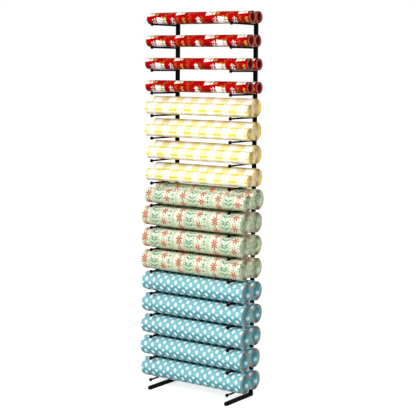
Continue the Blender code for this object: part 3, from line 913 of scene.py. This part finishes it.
def grown(name, tree, values):
    """A plain mesh object with what a tree gives for these values."""
    carrier = link(bpy.data.objects.new(name + "_carrier", bpy.data.meshes.new(name + "_carrier")))
    modifier = carrier.modifiers.new("shape", "NODES")
    modifier.node_group = tree
    named = {item.name: item.identifier for item in tree.interface.items_tree if item.in_out == "INPUT"}
    for label, value in values.items():
        modifier[named[label]] = value
    mesh = plain_mesh(carrier)
    mesh.name = name
    bpy.data.objects.remove(carrier)
    return link(bpy.data.objects.new(name, mesh))


def settle(piece, body, slot, *nodes):
    """Lets a piece ride on its body and stand for its nodes, which it hides; its slot is not used."""
    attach(piece, body)
    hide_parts(*nodes)


def squared_ring(half, corner, height):
    """Points of a square with round corners, at a height."""
    points = []
    reach = (half - corner) * math.sqrt(2)
    for quarter in range(4):
        middle = QUARTER * quarter + QUARTER / 2
        for step in range(CORNER_STEPS + 1):
            angle = QUARTER * (quarter + step / CORNER_STEPS)
            x = reach * math.cos(middle) + corner * math.cos(angle)
            y = reach * math.sin(middle) + corner * math.sin(angle)
            points.append((x, y, height))
    return points


def lofted(name, rings, placed, material, closed=False):
    """A solid through square rings: capped at both ends, or closed on itself as a tube's wall is."""
    shape = bmesh.new()
    loops = [[shape.verts.new(placed @ Vector(point)) for point in squared_ring(*ring)] for ring in rings]
    pairs = list(zip(loops, loops[1:]))
    if closed:
        pairs.append((loops[-1], loops[0]))
    for below, above in pairs:
        for i, vert in enumerate(below):
            following = (i + 1) % len(below)
            shape.faces.new((vert, below[following], above[following], above[i]))
    if not closed:
        shape.faces.new(reversed(loops[0]))
        shape.faces.new(loops[-1])
    bmesh.ops.recalc_face_normals(shape, faces=shape.faces)
    return as_object(name, shape, material)


def as_object(name, shape, material):
    """Turns a bmesh into an object that is shaded smooth but for its real edges."""
    for face in shape.faces:
        face.smooth = True
    for edge in shape.edges:
        edge.smooth = edge.calc_face_angle(0) < RACK_SHARP
    mesh = bpy.data.meshes.new(name)
    shape.to_mesh(mesh)
    shape.free()
    mesh.materials.append(material)
    return link(bpy.data.objects.new(name, mesh))


def turned(name, profile, placed, material):
    """A solid of revolution from radius and height pairs, both ends on the axis."""
    shape = bmesh.new()
    verts = [shape.verts.new((radius, 0, height)) for radius, height in profile]
    edges = [shape.edges.new(pair) for pair in zip(verts, verts[1:])]
    spin = {"axis": (0, 0, 1), "cent": (0, 0, 0), "steps": ROUND_SIDES, "angle": FULL_TURN}
    bmesh.ops.spin(shape, geom=verts + edges, **spin)
    bmesh.ops.remove_doubles(shape, verts=shape.verts, dist=SAME_POINT)
    bmesh.ops.recalc_face_normals(shape, faces=shape.faces)
    bmesh.ops.transform(shape, matrix=placed, verts=shape.verts)
    return as_object(name, shape, material)


def tube_between(name, low, high, axis, rack, material):
    """A square tube with soft cut edges that fills the box from low to high along an axis."""
    end = (high - low)[axis] / 2
    half = (high - low)[(axis + 1) % 3] / 2
    bore = half - rack.wall
    ease = rack.edge_break
    rings = [
        (half - ease, rack.corner, -end),
        (half, rack.corner, -end + ease),
        (half, rack.corner, end - ease),
        (half - ease, rack.corner, end),
        (bore, rack.bore_corner, end),
        (bore, rack.bore_corner, -end),
    ]
    return lofted(name, rings, Matrix.Translation((low + high) / 2) @ LAID[axis], material, closed=True)


def dress(node, material):
    """Puts a material in a node's own slots."""
    data = frame["nodes"][node].data
    if not data.materials:
        data.materials.append(material)
    for place in range(len(data.materials)):
        data.materials[place] = material


class ORGANIZER_OT_uprights(bpy.types.Operator):
    """Makes the square tubes of the uprights and gives their joining sleeves a finish"""

    bl_idname = "organizer.uprights"
    bl_label = "Make uprights"

    def execute(self, context):
        rack = context.scene.organizer_rack
        coat = black_finish(rack, "coat")
        for side in SIDES:
            cap_low, cap_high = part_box(f"top_cap_{side}")
            for level in LEVELS:
                node = f"upright_{side}_{level}"
                low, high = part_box(node)
                low.xy, high.xy = cap_low.xy, cap_high.xy
                tube = tube_between(f"tube_{side}_{level}", low, high, Z, rack, coat)
                settle(tube, "rack", "black_coat", node)
            dress(f"joining_sleeve_{side}", coat)
        return {"FINISHED"}


# Shares of the weld bead by which its profile stands out from the rod and from the tube
WELD_SHARES = ((0, 2), (0.3, 1), (1, 0.2))
# Vertices this close to the foremost one lie on a ball's tip, and their heights agree to this many digits
TIP_SLACK, TIP_DIGITS = 0.0001, 4


class ORGANIZER_OT_arms(bpy.types.Operator):
    """Makes the ladders of ball-ended arms with their weld beads"""

    bl_idname = "organizer.arms"
    bl_label = "Make arms"

    def execute(self, context):
        rack = context.scene.organizer_rack
        coat = black_finish(rack, "coat")
        template = self.arm(rack, coat)
        tree = row_tree()
        for side in SIDES:
            cap_low, cap_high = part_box(f"top_cap_{side}")
            axis = (cap_low + cap_high) / 2
            for level in LEVELS:
                node = f"upright_{side}_{level}"
                tiers = arm_heights(node)
                step = (tiers[-1] - tiers[0]) / (len(tiers) - 1)
                values = {"Template": template, "Count": len(tiers), "Finish": coat}
                values.update({"Start": (axis.x, axis.y, tiers[0]), "Step": (0, 0, step)})
                settle(grown(f"arms_{side}_{level}", tree, values), "rack", "black_coat", node)
        bpy.data.objects.remove(template)
        return {"FINISHED"}

    def arm(self, rack, material):
        """One arm along -Y, from inside the tube's front wall to its ball."""
        low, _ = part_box("upright_left_lower")
        cap_low, cap_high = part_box("top_cap_left")
        front = (cap_high.y - cap_low.y) / 2
        ball, rod = rack.ball / 2, rack.rod / 2
        reach = (cap_low.y + cap_high.y) / 2 - low.y - ball
        last = math.pi - math.asin(rod / ball)
        profile = [(0, reach + ball)]
        for step in range(1, BALL_STEPS + 1):
            angle = last * step / BALL_STEPS
            profile.append((ball * math.sin(angle), reach + ball * math.cos(angle)))
        profile += [(rod + out * rack.weld, front + along * rack.weld) for out, along in WELD_SHARES]
        root = front - rack.wall / 2
        profile += [(rod + rack.weld, root), (0, root)]
        return turned("arm_template", profile, LAID[Y], material)


def arm_heights(node):
    """Heights of the arms on a length of upright, from the tips of its balls."""
    corners = [vert.co for vert in frame["nodes"][node].data.vertices]
    tip = min(corner.y for corner in corners)
    return sorted({round(corner.z, TIP_DIGITS) for corner in corners if corner.y < tip + TIP_SLACK})


class ORGANIZER_OT_feet(bpy.types.Operator):
    """Makes the feet and gives their back plugs a finish"""

    bl_idname = "organizer.feet"
    bl_label = "Make feet"

    def execute(self, context):
        rack = context.scene.organizer_rack
        coat = black_finish(rack, "coat")
        for side in SIDES:
            node = f"foot_{side}"
            low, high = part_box(node)
            top = high.z
            high.z = low.z + (high - low).x
            settle(tube_between(f"foot_tube_{side}", low, high, Y, rack, coat), "rack", "black_coat", node)
            spigot = self.spigot(rack, f"foot_spigot_{side}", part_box(f"top_cap_{side}"), high.z, top, coat)
            settle(spigot, "rack", "black_coat", node)
            dress(f"foot_plug_{side}", black_finish(rack, "plastic"))
        return {"FINISHED"}

    def spigot(self, rack, name, upright, bottom, top, material):
        """The plug on a foot that stands in the upright, from just inside the foot's top wall."""
        low, high = upright
        half = (high - low).x / 2 - rack.wall - rack.clearance
        taper = 4 * rack.edge_break
        rings = [
            (half, rack.bore_corner, bottom - rack.wall / 2),
            (half, rack.bore_corner, top - taper),
            (half - taper, rack.bore_corner, top),
        ]
        middle = (low + high) / 2
        return lofted(name, rings, Matrix.Translation((middle.x, middle.y, 0)), material)


# Shares of a cap's half width and of its dome's height, from the dome's edge to its crown
DOME_SHARES = ((0.86, 0.4), (0.6, 0.12), (0.3, 0))
DOME_EDGE_SHARE = 0.75


class ORGANIZER_OT_caps(bpy.types.Operator):
    """Makes the domed caps on the uprights and on the fronts of the feet"""

    bl_idname = "organizer.caps"
    bl_label = "Make caps"

    def execute(self, context):
        rack = context.scene.organizer_rack
        for side in SIDES:
            self.cap(rack, f"cap_top_{side}", f"top_cap_{side}", Z)
            self.cap(rack, f"cap_foot_{side}", f"foot_cap_{side}", Y)
        return {"FINISHED"}

    def cap(self, rack, name, node, axis):
        """A cap with a stem in the tube, a head and a low dome, which points up or to the front."""
        low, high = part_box(node)
        half = (high - low).x / 2
        depth = (high - low)[axis]
        head, corner, ease = rack.cap_head, rack.corner, rack.edge_break
        stem = half - rack.wall - rack.clearance
        rings = [
            (stem, corner / 2, -depth),
            (stem, corner / 2, -head),
            (half - ease / 2, corner, -head),
            (half, corner, -head + ease),
            (half, corner, -rack.dome - ease),
            (half - 2 * ease, corner, -DOME_EDGE_SHARE * rack.dome),
        ]
        rings += [(half * wide, corner, -sunk * rack.dome) for wide, sunk in DOME_SHARES]
        tip = (low + high) / 2
        tip[axis] = high.z if axis == Z else low.y
        cap = lofted(name, rings, Matrix.Translation(tip) @ LAID[axis], black_finish(rack, "plastic"))
        settle(cap, "rack", "black_plastic", node)


class ORGANIZER_OT_cross_bars(bpy.types.Operator):
    """Makes the cross bars between the uprights"""

    bl_idname = "organizer.cross_bars"
    bl_label = "Make cross bars"

    def execute(self, context):
        rack = context.scene.organizer_rack
        for level in ("top", "bottom"):
            node = f"cross_bar_{level}"
            piece = tube_between(f"bar_{level}", *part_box(node), X, rack, black_finish(rack, "coat"))
            settle(piece, "rack", "black_coat", node)
        return {"FINISHED"}


# Shares of a head's radius: its height, its shank's radius and the flat of its crown
HEAD_HEIGHT_SHARE, SHANK_SHARE, FLAT_SHARE = 0.6, 0.52, 0.5
# The round's share of a head's height, and the widest that a socket may be beside the head's radius
BUTTON_SHARE, SOCKET_SHARE = 0.82, 0.8


class ORGANIZER_OT_fasteners(bpy.types.Operator):
    """Makes the bolts of the cross bars and the screws of the feet, with hexagon sockets"""

    bl_idname = "organizer.fasteners"
    bl_label = "Make fasteners"

    def execute(self, context):
        rack = context.scene.organizer_rack
        steel = black_finish(rack, "fastener")
        tree = bpy.data.node_groups.get("even_row") or row_tree()
        for side, outwards in zip(SIDES, (-1, 1)):
            bolts = [f"bar_bolt_{side}_{level}" for level in ("bottom", "top")]
            self.row(rack, f"bolts_{side}", bolts, outwards, steel, tree)
            self.row(rack, f"screw_{side}", [f"foot_screw_{side}"], -outwards, steel, tree)
        return {"FINISHED"}

    def row(self, rack, name, nodes, outwards, material, tree):
        """Like fasteners one above another, made from one template."""
        low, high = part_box(nodes[0])
        template = self.fastener(rack, (high - low).z / 2, (high - low).x, outwards, material)
        tip = high.x if outwards > 0 else low.x
        values = {"Template": template, "Count": len(nodes), "Finish": material}
        values["Start"] = (tip, (low.y + high.y) / 2, (low.z + high.z) / 2)
        values["Step"] = (0, 0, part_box(nodes[-1])[0].z - low.z)
        settle(grown(name, tree, values), "rack", "black_fastener", *nodes)
        bpy.data.objects.remove(template)

    def fastener(self, rack, head, length, outwards, material):
        """A button head with a hexagon socket and its shank, the top of the head at the origin."""
        height, shank = HEAD_HEIGHT_SHARE * head, SHANK_SHARE * head
        rise = BUTTON_SHARE * height
        profile = [(0, -length), (shank, -length), (shank, -height), (head, -height), (head, -rise)]
        for step in range(1, BUTTON_STEPS + 1):
            angle = QUARTER * step / BUTTON_STEPS
            radius = head * (FLAT_SHARE + (1 - FLAT_SHARE) * math.cos(angle))
            profile.append((radius, -rise * (1 - math.sin(angle))))
        profile.append((0, 0))
        turn = Matrix.Rotation(outwards * QUARTER, 4, "Y")
        made = turned("fastener_template", profile, turn, material)
        cutter = self.socket_cutter(rack, head, turn, material)
        cut = made.modifiers.new("socket", "BOOLEAN")
        cut.object = cutter
        cut.solver = "EXACT"
        mesh = plain_mesh(made)
        made.modifiers.clear()
        made.data = mesh
        merged = bmesh.new()
        merged.from_mesh(mesh)
        bmesh.ops.remove_doubles(merged, verts=merged.verts, dist=SAME_POINT)
        merged.to_mesh(mesh)
        merged.free()
        bpy.data.objects.remove(cutter)
        return made

    def socket_cutter(self, rack, head, turn, material):
        """The hexagon that is cut out of a head, twice as long as the socket is deep."""
        across = min(rack.socket, SOCKET_SHARE * head) / math.sqrt(3)
        hexagon = {"cap_ends": True, "segments": 6, "radius1": across, "radius2": across}
        shape = bmesh.new()
        bmesh.ops.create_cone(shape, depth=2 * rack.socket_depth, matrix=turn, **hexagon)
        return as_object("socket_cutter", shape, material)


FEWEST_TURNS = 7
# How far apart the random patterns of one roll and the next lie
SEED_STEP = 3.7
# Spreads the rolls' free edges evenly over so many places, in mixed order
SEAM_PLACES, SEAM_STRIDE = 11, 7


class ORGANIZER_OT_rolls(bpy.types.Operator):
    """Winds the rolls of printed paper"""

    bl_idname = "organizer.rolls"
    bl_label = "Wind rolls"

    def execute(self, context):
        rolls, prints = context.scene.organizer_rolls, context.scene.organizer_prints
        faces = {paper: printed_paper(paper, prints) for paper in PAPERS}
        edges = {paper: paper_edge(paper) for paper in PAPERS}
        slots = {part["node"]: part["material_slot"] for part in frame["record"]["subparts"]}
        tree = roll_tree()
        for node in sorted(name for name in frame["nodes"] if name.startswith("roll_")):
            paper = slots[node].split("_")[0]
            values = {"Print": faces[paper], "Edge": edges[paper], **self.winding(node, paper, rolls)}
            settle(grown(f"{paper}_{node}", tree, values), node, f"{paper}_paper", node)
        return {"FINISHED"}

    def winding(self, node, paper, rolls):
        """Where a roll lies and how it is wound, read from its node."""
        _, tier, row = node.split("_")
        low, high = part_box(node)
        diameter = high.z - low.z
        in_front = row == "front"
        back_yellow = paper == "yellow" and not in_front
        green = "green_thin" if diameter < rolls.thin_below else "green"
        wall = getattr(rolls, {"yellow": f"yellow_{row}", "green": green}.get(paper, paper) + "_wall")
        number = 2 * int(tier) + in_front
        spread = number * SEAM_STRIDE % SEAM_PLACES / (SEAM_PLACES - 1) - 0.5
        seam = getattr(rolls, f"seam_{paper}") if in_front else rolls.seam_back
        shift = rolls.yellow_shift if back_yellow else 0.0
        return {
            "Centre": (low + high) / 2,
            "Length": high.x - low.x,
            "Diameter": diameter,
            "Wall": wall,
            "Turns": max(FEWEST_TURNS, round(wall / rolls.bundle)),
            "Steps": rolls.steps,
            "Seam": FRONT + seam + rolls.seam_spread * spread,
            "Lift": rolls.lift if in_front else rolls.lift / 2,
            "Lifted Share": rolls.lifted_share,
            "Wander": rolls.wander,
            "Packed": rolls.packed,
            "Thinnest": rolls.thinnest,
            "Shift": shift if in_front else shift - math.pi * diameter,
            "Start": rolls.yellow_start if back_yellow else 0.0,
            "Seed": SEED_STEP * number,
        }


# The camera's sensor in millimetres, how far it sees, and how far the floor reaches each way
SENSOR_WIDTH, CAMERA_SEES, FLOOR_REACH = 36, 100, 30


class ORGANIZER_OT_stage(bpy.types.Operator):
    """Sets up the pale floor, the soft lights and the camera"""

    bl_idname = "organizer.stage"
    bl_label = "Set stage"

    def execute(self, context):
        stage = context.scene.organizer_stage
        self.camera(context, stage)
        self.floor(stage)
        self.world(context, stage)
        for name in LAMPS:
            self.lamp(name, stage)
        context.scene.view_settings.view_transform = "Standard"
        return {"FINISHED"}

    def camera(self, context, stage):
        """A camera turned by yaw and pitch, then rolled about its own view."""
        flat = math.cos(stage.pitch)
        back = Vector((math.sin(stage.yaw) * flat, -math.cos(stage.yaw) * flat, math.sin(stage.pitch)))
        level = Vector((math.cos(stage.yaw), math.sin(stage.yaw), 0))
        upright = back.cross(level)
        right = level * math.cos(stage.roll) + upright * math.sin(stage.roll)
        up = upright * math.cos(stage.roll) - level * math.sin(stage.roll)
        camera = link(bpy.data.objects.new("camera", bpy.data.cameras.new("camera")))
        turn = Matrix((right, up, back)).transposed().to_4x4()
        camera.matrix_world = Matrix.Translation(stage.place) @ turn
        camera.data.lens = stage.lens
        camera.data.sensor_width = SENSOR_WIDTH
        camera.data.clip_end = CAMERA_SEES
        context.scene.camera = camera

    def floor(self, stage):
        """A large pale floor that the camera sees as white but for the shadow on it."""
        mesh = bpy.data.meshes.new("floor")
        corners = [(x * FLOOR_REACH, y * FLOOR_REACH, 0) for x, y in ((-1, -1), (1, -1), (1, 1), (-1, 1))]
        mesh.from_pydata(corners, [], [range(len(corners))])
        finish = Finish("pale_floor", 0.9, 0.0)
        finish.paint((stage.floor,) * 3)
        across, away, _ = parts_of(finish.tree, finish.place())
        distance = (across ** 2 + away ** 2).root()
        lift = stage.floor_lift
        lifted = eased(distance, stage.floor_near, stage.floor_far) * (1 - lift) + lift
        finish.set("Emission Color", WHITE)
        finish.set("Emission Strength", seen_directly(finish.tree) * lifted)
        mesh.materials.append(finish.material)
        link(bpy.data.objects.new("floor", mesh))

    def world(self, context, stage):
        """Even light, with plain white where the camera, a gloss or a glass looks at it."""
        world = bpy.data.worlds.new("studio")
        world.use_nodes = True
        tree = world.node_tree
        inputs = tree.nodes["Background"].inputs
        feed(tree, inputs["Color"], WHITE)
        feed(tree, inputs["Strength"], seen_directly(tree) * (1 - stage.sky) + stage.sky)
        context.scene.world = world

    def lamp(self, name, stage):
        """A square soft lamp that faces the rack."""
        data = bpy.data.lights.new(f"{name}_lamp", "AREA")
        data.shape = "SQUARE"
        data.size = getattr(stage, f"{name}_size")
        data.energy = getattr(stage, f"{name}_power")
        lamp = link(bpy.data.objects.new(data.name, data))
        lamp.location = getattr(stage, f"{name}_place")
        lamp.rotation_euler = (lamp.location - Vector(stage.aim)).to_track_quat("Z", "Y").to_euler()


def seen_directly(tree):
    """1 for what the camera, a gloss or a glass looks at."""
    path = add_node(tree, "ShaderNodeLightPath").outputs
    return union([Value(tree, path[f"Is {ray} Ray"]) for ray in ("Camera", "Glossy", "Transmission")])


OPERATORS = (
    ORGANIZER_OT_uprights,
    ORGANIZER_OT_arms,
    ORGANIZER_OT_feet,
    ORGANIZER_OT_caps,
    ORGANIZER_OT_cross_bars,
    ORGANIZER_OT_fasteners,
    ORGANIZER_OT_rolls,
    ORGANIZER_OT_stage,
)
SETTINGS = {
    "organizer_rack": RackSettings,
    "organizer_rolls": RollSettings,
    "organizer_prints": PrintSettings,
    "organizer_stage": StageSettings,
}


class ORGANIZER_PT_panel(bpy.types.Panel):
    """Lists the settings and the steps"""

    bl_label = "Gift wrap organizer"
    bl_idname = "ORGANIZER_PT_panel"
    bl_space_type = "VIEW_3D"
    bl_region_type = "UI"
    bl_category = "Organizer"

    def draw(self, context):
        for operator in OPERATORS:
            self.layout.operator(operator.bl_idname)
        for name, group in SETTINGS.items():
            box = self.layout.box()
            for setting in group.__annotations__:
                box.prop(getattr(context.scene, name), setting)


def register():
    for group in (*SETTINGS.values(), *OPERATORS, ORGANIZER_PT_panel):
        bpy.utils.register_class(group)
    for name, group in SETTINGS.items():
        setattr(bpy.types.Scene, name, PointerProperty(type=group))


def unregister():
    for name in SETTINGS:
        delattr(bpy.types.Scene, name)
    for group in (ORGANIZER_PT_panel, *reversed(OPERATORS), *SETTINGS.values()):
        bpy.utils.unregister_class(group)


def main():
    register()
    for operator in OPERATORS:
        family, name = operator.bl_idname.split(".")
        getattr(getattr(bpy.ops, family), name)()


if __name__ == "__main__":
    main()
